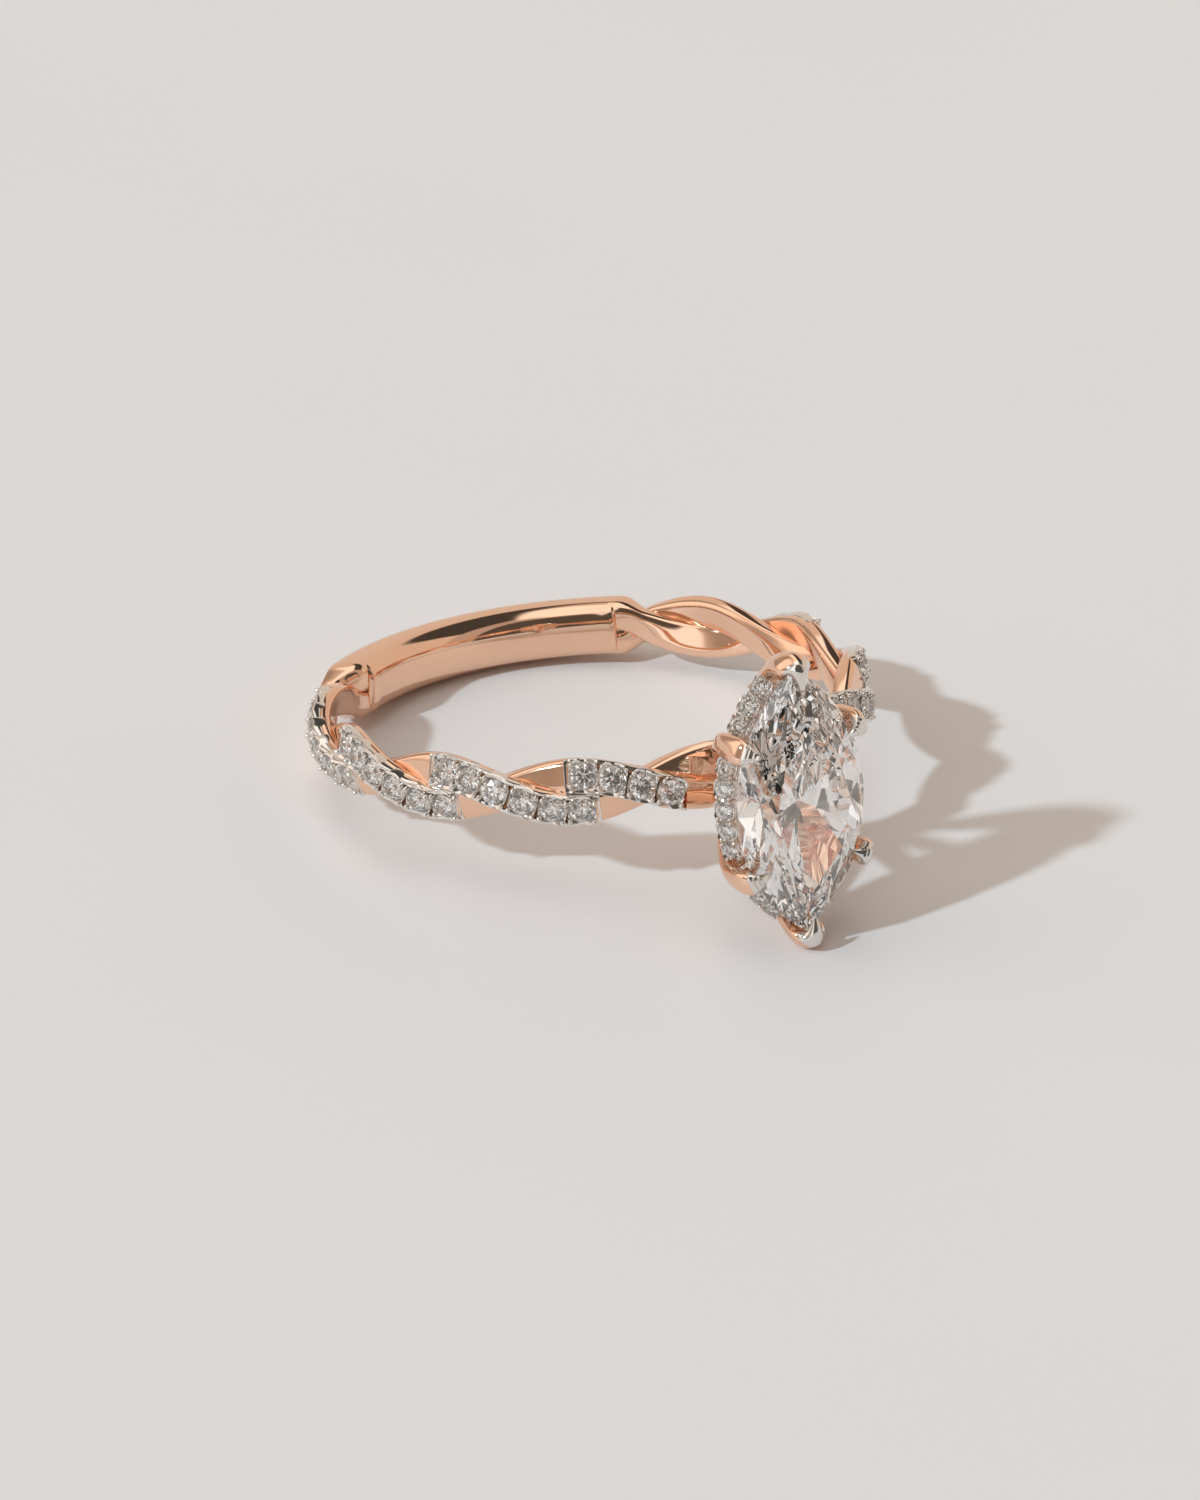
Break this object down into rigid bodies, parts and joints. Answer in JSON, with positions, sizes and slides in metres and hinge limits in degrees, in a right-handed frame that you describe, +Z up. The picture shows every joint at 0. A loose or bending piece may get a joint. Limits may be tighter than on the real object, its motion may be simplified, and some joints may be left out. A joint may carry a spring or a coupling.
{
  "type": "twisted shank ring",
  "caption": "Finger ring lying on its side: twisted strands with small stones in their outer turns, a smooth bar at the back and a pointed oval stone in claws over a hidden halo.",
  "frame": {"origin": "centre of the finger hole, half way along the finger", "axes": "+Z up as the ring lies; the head points along +X and is raised by the tilt of 10.2 degrees about Y, so the finger axis leans by the same angle from +Z towards -X"},
  "size_m": [0.0248, 0.0198, 0.0102],
  "materials": {
    "rose_gold": "polished rose gold",
    "clear_stone": "cut and polished, clear"
  },
  "bodies": {
    "root": {"shank_and_setting": "rose_gold", "centre_stone": "clear_stone", "halo_stones": "clear_stone", "band_stones_near": "clear_stone", "band_stones_far": "clear_stone"}
  },
  "joints": []
}
